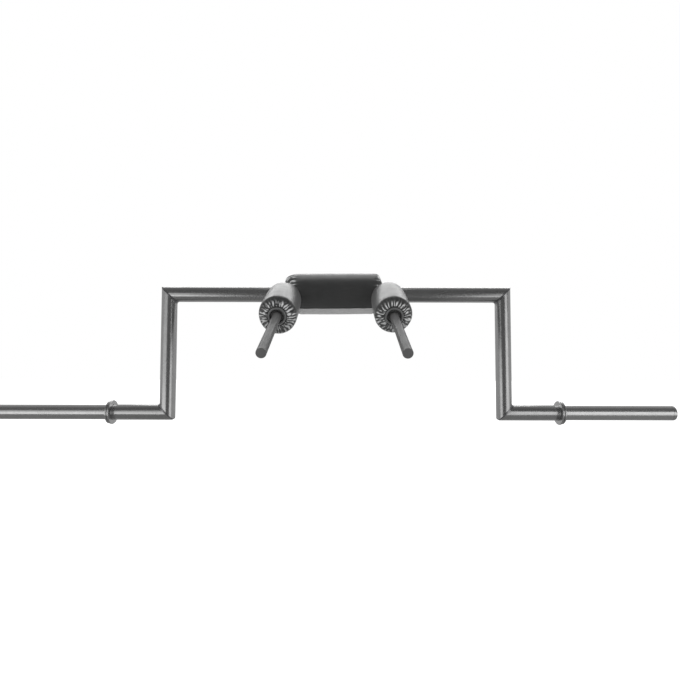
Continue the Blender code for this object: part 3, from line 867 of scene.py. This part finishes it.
def folded(body, folds, depth, lean, seed, wear, put):
    """Draws the folds into a cover's blank, paints a highlight on them and puts each point in place.

    Lean tells how much of a fold's depth goes along the pad, and how much inwards.
    """
    # How the painted highlight changes with height, and the hem radius inside which it is painted
    highlight_by_height, highlight_hem_radius = wear
    weight = body.verts.layers.float["weight"]
    ridge_highlight = body.verts.layers.float["ridge_highlight"]

    def rule(distance, radius, angle, vertex):
        share = max(0, vertex[weight])
        drawn, painted_highlight = fold(angle, radius, folds, seed + math.copysign(3, distance))
        inward = depth * share * drawn
        # Painted highlight: weaker on the lower folds and starting later on the upper ones, as if lit from
        # above
        above, below = highlight_by_height * max(0, math.cos(angle)), highlight_by_height * max(0, -math.cos(angle))
        vertex[ridge_highlight] = painted_highlight * (1 - LOWER_HIGHLIGHT_LOSS * below) * eased(share, 0.5 * above, 0.35 + 0.65 * above)
        # An even pale tint painted on the hem as a highlight
        if share == 0 and radius < highlight_hem_radius:
            vertex[ridge_highlight] = HEM_HIGHLIGHT
        sag = 0
        if vertex[weight] >= 0:
            slack = Vector((distance * 30, math.cos(angle) * 1.5 + seed, math.sin(angle) * 1.5))
            sag = SAG * abs(noise.noise(slack))
        x = distance - math.copysign(inward * lean[0], distance)
        return put(x, radius - inward * lean[1] - sag, angle)

    return reshape(body, rule)


def neck_reach(x):
    """The neck pad's radius at a distance from the bar's middle, or 0 beyond its end."""
    start = NECK_HALF - NECK_ROUND[0]
    beyond = (abs(x) - start) / NECK_ROUND[0]
    if beyond > 1:
        return 0.0
    if beyond <= 0:
        return NECK_RADIUS + PAD_CROWN * (1 - abs(x) / start)
    return NECK_RADIUS - NECK_ROUND[1] * (1 - math.sqrt(1 - beyond**2))


def neck_lift(x):
    """How far the neck pad sits above the tube's axis, at a distance from the bar's middle."""
    return NECK_LIFT + NECK_SLOPE * x


def on_neck(distance, radius, angle):
    """Puts points of the neck pad in place. Its ends give a little where no handle or shoulder pad is."""
    hem_edge = NECK_HEM[0] + HEM_LIP
    from_handle = abs(angle - HANDLE_ANGLE)
    from_handle = min(from_handle, math.tau - from_handle)
    give = NECK_GIVE["left" if distance < 0 else "right"]
    give *= eased(from_handle, *GIVE_ANGLES)
    give *= eased(abs(distance), NECK_HALF - NECK_ROUND[0], NECK_HALF)
    give *= eased(radius, hem_edge, NECK_HEM[0] + GIVE_WIDTH)
    x = distance + (give if distance > 0 else -give)
    lift = neck_lift(x) * eased(radius, hem_edge, NECK_RADIUS)
    return Vector((x, radius * math.sin(angle), radius * math.cos(angle) + lift))


def on_shoulder(side):
    """Puts points of a shoulder pad along its handle, and sets its back end against the neck pad."""
    fullness, rise, droop = SHOULDER_FIT[side]
    half, hem_edge = SHOULDER_HALF, SHOULDER_HEM[0] + HEM_LIP

    def put(distance, radius, angle):
        outer = eased(radius, hem_edge, SHOULDER_RADIUS - FIT_EDGE)
        radius += fullness * outer
        across, up = radius * math.sin(angle), radius * math.cos(angle)
        at_back = eased(-distance, half - SETBACK_LENGTH, half)
        at_front = eased(distance, 0, half)
        along = SHOULDER_MIDDLE + distance - SHOULDER_SETBACK * outer * eased(up, 0, FIT_HEIGHT) * at_back
        along += SHOULDER_PUCKER * eased(-radius, -PUCKER_RADIUS, -hem_edge) * at_front
        up += outer * rise * eased(-distance, -half, half)
        up -= outer * droop * eased(distance, -half, half) * eased(-up, 0, FIT_HEIGHT)
        clear = neck_reach(HANDLE_X + across) + PAD_GAP + (fullness if outer else 0)
        if clear > abs(up):
            along = max(along, math.sqrt(clear**2 - up**2))
        point = X_AXIS * (HANDLE_X + across) + FORWARD * along + UPWARD * up
        point.x *= SIDES[side]
        return point

    return put


def draw_in(piece, cap):
    """Lets a cover settle as cloth under a little pressure, and caps how far a point may move."""
    mesh = piece.data
    rest = [vertex.co.copy() for vertex in mesh.vertices]
    weights = mesh.attributes["weight"].data
    held = piece.vertex_groups.new(name="held")
    held.add([index for index, weight in enumerate(weights) if weight.value < 0], 1.0, "REPLACE")
    cloth = piece.modifiers.new("settle", "CLOTH")
    cloth.settings.quality = CLOTH_QUALITY
    cloth.settings.vertex_group_mass = held.name
    cloth.settings.use_pressure = True
    cloth.settings.uniform_pressure_force = CLOTH_PRESSURE
    cloth.settings.effector_weights.gravity = 0.0
    cloth.collision_settings.use_collision = False
    for number in range(1, CLOTH_FRAMES + 1):
        bpy.context.scene.frame_set(number)
    settled = piece.evaluated_get(bpy.context.evaluated_depsgraph_get())
    moved = [vertex.co.copy() for vertex in settled.data.vertices]
    piece.modifiers.remove(cloth)
    piece.vertex_groups.remove(held)
    bpy.context.scene.frame_set(1)
    for vertex, start, end in zip(mesh.vertices, rest, moved):
        step = end - start
        vertex.co = start + step * min(1, cap / max(step.length, MERGE_DISTANCE))
    mesh.update()


def finish_cover(cover, pads):
    draw_in(cover, pads.cloth_cap)
    smooth = cover.modifiers.new("smooth", "SUBSURF")
    smooth.levels = 1
    smooth.render_levels = 1


def foam_core(half, radius, bore, rounding, put):
    """A foam core about X, moved the same way as its cover."""
    right = quarter_round(half, radius, *rounding, 5)
    middle = [(half * (1 - step / 4), radius) for step in range(2, 4)]
    outline = [(half, bore), *right, *middle]
    left = [(-x, r) for x, r in outline]
    body = spun(outline + left[::-1], TUBE_STEPS)
    return reshape(body, lambda distance, radius, angle, vertex: put(distance, radius, angle))


def closure_strip():
    """The strip under the neck pad: a sheet bent round the cover, with soft edges."""
    body = bmesh.new()
    bmesh.ops.create_grid(body, x_segments=140, y_segments=14, size=1.0)
    middle = sum(STRIP_ANGLES) / 2
    half_sweep = (STRIP_ANGLES[0] - STRIP_ANGLES[1]) / 2
    for vertex in body.verts:
        along, across = vertex.co.x, vertex.co.y
        x = along * STRIP_HALF
        edge = STRIP_WAVES * noise.noise(Vector((x * 38, 2.0, 5.0))) * max(0, across)
        angle = middle + half_sweep * across + edge / NECK_RADIUS
        loose = STRIP_LOOSE * (1 + noise.noise(Vector((x * 55, across * 2, 1.0))))
        reach = neck_reach(x) + GAP + loose
        vertex.co = Vector((x, -reach * math.cos(angle), reach * math.sin(angle) + neck_lift(x)))
    bmesh.ops.recalc_face_normals(body, faces=body.faces)
    bmesh.ops.solidify(body, geom=body.faces[:], thickness=STRIP_THICKNESS)
    tidy(body)
    return body


def hem_cord(node, centre, axis):
    """The cord in a hem: a round ring, laid with two strands."""
    middle, _ = middle_and_half(node, axis)
    inner, outer = radii(node, centre, axis)
    thick, mean = (outer - inner) / 2, (outer + inner) / 2
    turns = [math.tau * step / CORD_STEPS for step in range(CORD_STEPS)]
    body = spun([(thick * math.sin(t), mean + thick * math.cos(t)) for t in turns], RING_STEPS)
    for vertex in body.verts:
        angle = math.atan2(vertex.co.y, vertex.co.z)
        spoke = Vector((0, math.sin(angle), math.cos(angle))) * mean
        from_core = vertex.co - spoke
        wrap = math.atan2(from_core.x, math.hypot(vertex.co.y, vertex.co.z) - mean)
        groove = CORD_GROOVE * (1 - math.cos(2 * wrap + CORD_TWISTS * angle))
        vertex.co = spoke + from_core * (1 - groove)
        vertex.co.x += middle
    return body


# Studio


def camera_mask(tree):
    """1 for what the camera sees, straight or in a reflection or through glass."""
    path = add_node(tree, "ShaderNodeLightPath").outputs
    seen = math_of(tree, "MAXIMUM", path["Is Camera Ray"], path["Is Glossy Ray"])
    return math_of(tree, "MAXIMUM", seen, path["Is Transmission Ray"])


def glow(tree, level, strength=1.0):
    """Even grey light, which may be brighter than white."""
    inputs = {"Color": (level, level, level, 1), "Strength": strength}
    return add_node(tree, "ShaderNodeEmission", inputs).outputs[0]


def set_world(ambient):
    """White where it is seen, and a dimmer even light on the object."""
    world = bpy.data.worlds.new("studio")
    bpy.context.scene.world = world
    world.use_nodes = True
    tree = world.node_tree
    lit = tree.nodes["Background"]
    feed(tree, lit, {"Color": (1, 1, 1, 1), "Strength": ambient})
    seen = add_node(tree, "ShaderNodeBackground", {"Color": (1, 1, 1, 1), "Strength": 1.0})
    inputs = {0: camera_mask(tree), 1: lit.outputs[0], 2: seen.outputs[0]}
    both = add_node(tree, "ShaderNodeMixShader", inputs).outputs[0]
    feed(tree, tree.nodes["World Output"], {"Surface": both})


def floor_material():
    """Pale paper: it takes shadows, and is white where the lamps reach it."""
    material, tree, shader, _ = new_material("pale_floor")
    tree.nodes.remove(shader)
    paper = add_node(tree, "ShaderNodeBsdfDiffuse", {"Color": (0.9, 0.9, 0.9, 1)}).outputs[0]
    glowing = add_node(tree, "ShaderNodeAddShader", {0: paper, 1: glow(tree, 1.0, 0.70)}).outputs[0]
    seen = add_node(tree, "ShaderNodeMixShader", {0: camera_mask(tree), 1: paper, 2: glowing}).outputs[0]
    feed(tree, tree.nodes["Material Output"], {"Surface": seen})
    return material


def card_material(name, level):
    """An even card, as dark or as light as its level."""
    material, tree, shader, _ = new_material(name)
    tree.nodes.remove(shader)
    feed(tree, tree.nodes["Material Output"], {"Surface": glow(tree, level)})
    return material


def add_card(name, low, high, level):
    """A card between two corners that share a coordinate. It only shows in reflections."""
    size = Vector(high) - Vector(low)
    across, up = [axis * length for axis, length in zip(Matrix.Identity(3), size) if length]
    body = bmesh.new()
    bmesh.ops.create_grid(body, x_segments=1, y_segments=1, size=0.5)
    lay = Matrix((across, up, across.cross(up))).transposed().to_4x4()
    place(body, Matrix.Translation((Vector(low) + Vector(high)) / 2) @ lay)
    card = to_piece(name, body, finish(f"card_{round(level * 100)}", card_material, level))
    card.visible_camera = False
    card.visible_diffuse = False
    card.visible_shadow = False
    card.visible_transmission = False


def add_lamp(name, centre, target, size, radiance):
    """A large soft lamp for the matt surfaces and the floor. The bare metal sees the cards instead."""
    lamp = bpy.data.lights.new(name, "AREA")
    lamp.shape = "RECTANGLE"
    lamp.size, lamp.size_y = size
    lamp.energy = radiance * math.pi * size[0] * size[1]
    softbox = bpy.data.objects.new(name, lamp)
    softbox.location = centre
    softbox.rotation_euler = (Vector(target) - Vector(centre)).to_track_quat("-Z", "Y").to_euler()
    softbox.visible_camera = False
    softbox.visible_glossy = False
    bpy.context.scene.collection.objects.link(softbox)


def add_camera(studio):
    """The camera that stands where the photograph's did."""
    camera = bpy.data.objects.new("camera", bpy.data.cameras.new("camera"))
    camera.data.lens = studio.lens
    camera.data.sensor_width = 36.0
    camera.location = studio.eye
    pitch, roll, yaw = studio.tilt
    camera.rotation_euler = Euler((math.pi / 2 + pitch, roll, yaw))
    bpy.context.scene.collection.objects.link(camera)
    bpy.context.scene.camera = camera


# Properties


def colour_property(name, description, default):
    return FloatVectorProperty(name=name, description=description, default=default, subtype="COLOR")


def blur_property(name, description, default):
    return FloatProperty(name=name, description=description, default=default, min=0, max=1)


def length_property(name, description, default):
    return FloatProperty(name=name, description=description, default=default, unit="LENGTH")


def count_property(name, description, default):
    return IntProperty(name=name, description=description, default=default, min=8, max=60)


class SquatBarSteels(bpy.types.PropertyGroup):
    """Colours and gloss of the bare metal."""

    tube_colour: colour_property("Tube colour", "Polished frame tubes", (0.50, 0.50, 0.50))
    tube_roughness: blur_property("Tube roughness", "How blurred the tubes' reflections are", 0.27)
    sleeve_colour: colour_property("Sleeve colour", "Turned sleeves and rings", (0.62, 0.62, 0.62))
    sleeve_roughness: blur_property("Sleeve roughness", "How blurred the sleeves' reflections are", 0.27)
    handle_colour: colour_property("Handle colour", "Satin handles", (0.165, 0.165, 0.165))
    handle_roughness: blur_property("Handle roughness", "How blurred the handles' reflections are", 0.45)
    weld_colour: colour_property("Weld colour", "Beads at the mitres and the handles", (0.34, 0.34, 0.35))
    inner_fillet: length_property("Inner fillet", "Width of a mitre's bead in the inner corner", 0.0054)
    ring_rounding: length_property("Ring rounding", "How far the rings' outer edges are rounded", 0.0020)


class SquatBarPads(bpy.types.PropertyGroup):
    """Covers, folds and trim of the three pads."""

    vinyl_colour: colour_property("Vinyl colour", "Cover of the pads", (0.0155, 0.017, 0.0165))
    vinyl_roughness: blur_property("Vinyl roughness", "How blurred the covers' shine is", 0.44)
    # Pale grey painted on the folds' ridges as a highlight
    ridge_highlight_colour: colour_property("Ridge highlight colour", "Vinyl on the ridges of the folds", (0.70, 0.71, 0.71))
    foam_colour: colour_property("Foam colour", "Cores of the pads", (0.18, 0.18, 0.18))
    cord_colour: colour_property("Cord colour", "Cords in the hems", (0.02, 0.02, 0.02))
    strip_colour: colour_property("Strip colour", "Closure strip under the neck pad", (0.52, 0.52, 0.52))
    shoulder_folds: count_property("Shoulder folds", "Folds at each end of a shoulder pad", 28)
    neck_folds: count_property("Neck folds", "Folds at each end of the neck pad", 26)
    shoulder_fold_depth: length_property("Shoulder fold depth", "Deepest crease of a shoulder pad", 0.0068)
    neck_fold_depth: length_property("Neck fold depth", "Deepest crease of the neck pad", 0.00884)
    cloth_cap: length_property("Cloth cap", "Furthest that the simulated cover may move", 0.0020)


class SquatBarStudio(bpy.types.PropertyGroup):
    """Camera and light."""

    lens: FloatProperty(name="Lens", description="Focal length on a 36 mm sensor, in mm", default=25.52)
    eye: FloatVectorProperty(
        name="Eye",
        description="Where the camera stands",
        default=(0.0107, -1.6143, -0.2302),
        subtype="TRANSLATION",
    )
    tilt: FloatVectorProperty(
        name="Tilt",
        description="Camera pitch, roll and yaw",
        default=(0.0482, -0.0023, -0.0017),
        subtype="EULER",
    )
    ambient: FloatProperty(name="Ambient", description="Even light on matt surfaces", default=0.75)
    lamp_level: FloatProperty(name="Lamp level", description="Brightness of the soft lamps", default=0.8)
    card_level: FloatProperty(name="Card level", description="Brightness of all the cards", default=1.0)
    floor_depth: length_property("Floor depth", "The floor below the centre tube", 1.35)


GROUPS = {
    "squat_bar_steels": SquatBarSteels,
    "squat_bar_pads": SquatBarPads,
    "squat_bar_studio": SquatBarStudio,
}


# Operators


class SQUATBAR_OT_frame_tubes(bpy.types.Operator):
    """Make the centre tube, the drop tubes and the stubs"""

    bl_idname = "squatbar.frame_tubes"
    bl_label = "Frame tubes"

    def execute(self, context):
        steels = context.scene.squat_bar_steels
        upright = Matrix.Translation((CORNER_X, 0, 0)) @ Matrix.Rotation(math.pi / 2, 4, "Y")
        low = Matrix.Translation(SLEEVE_AXIS)
        centre = mitred_tube(-CORNER_X, CORNER_X, -1, 1)
        for side in SIDES:
            grind_tip(centre, side, 1)
            drop = mitred_tube(0, -SLEEVE_Z, -1, -1)
            place(drop, mirrored(side) @ upright)
            grind_tip(drop, side, 1)
            grind_tip(drop, side, -1)
            stand_for(f"{side}_drop_tube", drop, upright_steel(steels))
            stub = mitred_tube(CORNER_X, STUB_END, 1, 0)
            place(stub, mirrored(side) @ low)
            grind_tip(stub, side, -1)
            stand_for(f"{side}_stub_tube", stub, along_bar_steel(steels))
        stand_for("centre_tube", centre, along_bar_steel(steels))
        return {"FINISHED"}


class SQUATBAR_OT_welds(bpy.types.Operator):
    """Make the beads at the mitres and round the handles' feet"""

    bl_idname = "squatbar.welds"
    bl_label = "Welds"

    def execute(self, context):
        steels = context.scene.squat_bar_steels
        for side in SIDES:
            upper = mitre_weld(0, -X_AXIS, -Z_AXIS, steels.inner_fillet)
            lower = mitre_weld(SLEEVE_Z, X_AXIS, Z_AXIS, steels.inner_fillet)
            beads = (("upper_weld", upper, 1), ("lower_weld", lower, -1), ("handle_weld", handle_weld(), 0))
            for node, body, top in beads:
                place(body, mirrored(side))
                if top:
                    grind_tip(body, side, top)
                stand_for(f"{side}_{node}", body, weld_steel(steels), WELD_SMOOTH_ANGLE)
        return {"FINISHED"}


class SQUATBAR_OT_handles(bpy.types.Operator):
    """Make the two handles"""

    bl_idname = "squatbar.handles"
    bl_label = "Handles"

    def execute(self, context):
        steels = context.scene.squat_bar_steels
        for side in SIDES:
            bar = handle_bar()
            place(bar, along_handle(side))
            stand_for(f"{side}_handle", bar, handle_steel(steels))
        return {"FINISHED"}


class SQUATBAR_OT_sleeves(bpy.types.Operator):
    """Make the stop rings, the turning sleeves with their collars, the end caps and the thrust washers"""

    bl_idname = "squatbar.sleeves"
    bl_label = "Sleeves"

    def execute(self, context):
        steels = context.scene.squat_bar_steels
        polished = turned_steel(steels)
        for side in SIDES:
            made = {
                "stop_ring": (turned_ring("right_stop_ring", steels.ring_rounding, 4), polished),
                "sleeve_collar": (turned_ring("right_sleeve_collar", steels.ring_rounding, 4), polished),
                "sleeve_tube": (turned_ring("right_sleeve_tube", SLEEVE_CHAMFER, 1), polished),
                "end_cap": (end_cap(), polished),
                "thrust_washer": (turned_ring("right_thrust_washer", WASHER_ROUNDING, 4), bronze()),
            }
            for node, (body, material) in made.items():
                place(body, mirrored(side) @ Matrix.Translation(SLEEVE_AXIS))
                stand_for(f"{side}_{node}", body, material)
        return {"FINISHED"}


class SQUATBAR_OT_inner_parts(bpy.types.Operator):
    """Give the parts inside the stubs and sleeves their finishes"""

    bl_idname = "squatbar.inner_parts"
    bl_label = "Inner parts"

    def execute(self, context):
        steels = context.scene.squat_bar_steels
        finishes = {
            "spindle": turned_steel(steels),
            "spindle_plug": along_bar_steel(steels),
            "retaining_washer": turned_steel(steels),
            "snap_ring": turned_steel(steels),
            "inner_bushing": bronze(),
            "outer_bushing": bronze(),
        }
        for side in SIDES:
            for part, material in finishes.items():
                for slot in frame["nodes"][f"{side}_{part}"].material_slots:
                    slot.material = material
        return {"FINISHED"}


class SQUATBAR_OT_neck_pad(bpy.types.Operator):
    """Make the neck pad's foam, cover, hem cords and closure strip"""

    bl_idname = "squatbar.neck_pad"
    bl_label = "Neck pad"

    def execute(self, context):
        pads = context.scene.squat_bar_pads
        count, depth = pads.neck_folds, pads.neck_fold_depth
        blank = cover_blank(NECK_HALF, NECK_RADIUS, NECK_HEM, NECK_ROUND, count, NECK_SPREAD)
        body = folded(blank, count, depth, NECK_LEAN, FOLD_SEEDS["neck"], NECK_HIGHLIGHT, on_neck)
        cover = stand_for("neck_cover", body, pad_vinyl(pads), SOFT_SMOOTH_ANGLE)
        finish_cover(cover, pads)
        half = span("neck_foam", X_AXIS)[1]
        bore, radius = radii("neck_foam", Vector(), X_AXIS)
        body = foam_core(half, radius, bore, NECK_ROUND, on_neck)
        core = stand_for("neck_foam", body, pad_foam(pads))
        strip = stand_for("neck_closure_strip", closure_strip(), strip_cloth(pads))
        strip.data.shade_smooth()
        for side in SIDES:
            ring = hem_cord(f"neck_{side}_cord", Vector(), X_AXIS)
            stand_for(f"neck_{side}_cord", ring, cord_cloth(pads), SOFT_SMOOTH_ANGLE)
        return {"FINISHED"}


class SQUATBAR_OT_shoulder_pads(bpy.types.Operator):
    """Make the two shoulder pads: foam, cover and hem cords"""

    bl_idname = "squatbar.shoulder_pads"
    bl_label = "Shoulder pads"

    def execute(self, context):
        pads = context.scene.squat_bar_pads
        count, depth = pads.shoulder_folds, pads.shoulder_fold_depth
        shape = (SHOULDER_HALF, SHOULDER_RADIUS, SHOULDER_HEM, SHOULDER_ROUND)
        for side in SIDES:
            put = on_shoulder(side)
            blank = cover_blank(*shape, count, SHOULDER_SPREAD)
            body = folded(blank, count, depth, SHOULDER_LEAN, FOLD_SEEDS[side], SHOULDER_HIGHLIGHT, put)
            cover = stand_for(f"{side}_shoulder_cover", body, pad_vinyl(pads), SOFT_SMOOTH_ANGLE)
            finish_cover(cover, pads)
            centre = Vector((SIDES[side] * HANDLE_X, 0, 0))
            _, half = middle_and_half(f"{side}_shoulder_foam", FORWARD)
            bore, radius = radii(f"{side}_shoulder_foam", centre, FORWARD)
            body = foam_core(half, radius, bore, SHOULDER_ROUND, put)
            core = stand_for(f"{side}_shoulder_foam", body, pad_foam(pads))
            for end_name in ("back", "front"):
                node = f"{side}_shoulder_{end_name}_cord"
                ring = hem_cord(node, centre, FORWARD)
                place(ring, along_handle(side))
                stand_for(node, ring, cord_cloth(pads), SOFT_SMOOTH_ANGLE)
        return {"FINISHED"}


class SQUATBAR_OT_stage(bpy.types.Operator):
    """Set the camera, the floor, the lamps and the studio cards"""

    bl_idname = "squatbar.stage"
    bl_label = "Stage"

    def execute(self, context):
        studio = context.scene.squat_bar_studio
        add_camera(studio)
        context.scene.view_settings.view_transform = "Standard"
        set_world(studio.ambient)
        body = bmesh.new()
        bmesh.ops.create_grid(body, x_segments=1, y_segments=1, size=FLOOR_HALF)
        place(body, Matrix.Translation((0, 0, -studio.floor_depth)))
        to_piece("floor", body, floor_material())
        for name, low, high, level in CARDS:
            add_card(name, low, high, level * studio.card_level)
        for name, centre, target, size, share in LAMPS:
            add_lamp(name, centre, target, size, studio.lamp_level * share)
        return {"FINISHED"}


STEPS = (
    SQUATBAR_OT_frame_tubes,
    SQUATBAR_OT_welds,
    SQUATBAR_OT_handles,
    SQUATBAR_OT_sleeves,
    SQUATBAR_OT_inner_parts,
    SQUATBAR_OT_neck_pad,
    SQUATBAR_OT_shoulder_pads,
    SQUATBAR_OT_stage,
)


class SQUATBAR_PT_panel(bpy.types.Panel):
    """Sizes and colours, and a button for each group of pieces"""

    bl_idname = "SQUATBAR_PT_panel"
    bl_label = "Squat Bar"
    bl_space_type = "VIEW_3D"
    bl_region_type = "UI"
    bl_category = "Squat Bar"

    def draw(self, context):
        layout = self.layout
        for name, group in GROUPS.items():
            box = layout.box()
            for setting in group.__annotations__:
                box.prop(getattr(context.scene, name), setting)
        for step in STEPS:
            layout.operator(step.bl_idname)


def register():
    for made in (*GROUPS.values(), *STEPS, SQUATBAR_PT_panel):
        bpy.utils.register_class(made)
    for name, group in GROUPS.items():
        setattr(bpy.types.Scene, name, PointerProperty(type=group))


def unregister():
    for name in GROUPS:
        delattr(bpy.types.Scene, name)
    for made in reversed((*GROUPS.values(), *STEPS, SQUATBAR_PT_panel)):
        bpy.utils.unregister_class(made)


def main():
    register()
    bpy.ops.squatbar.frame_tubes()
    bpy.ops.squatbar.welds()
    bpy.ops.squatbar.handles()
    bpy.ops.squatbar.sleeves()
    bpy.ops.squatbar.inner_parts()
    bpy.ops.squatbar.neck_pad()
    bpy.ops.squatbar.shoulder_pads()
    bpy.ops.squatbar.stage()


if __name__ == "__main__":
    main()
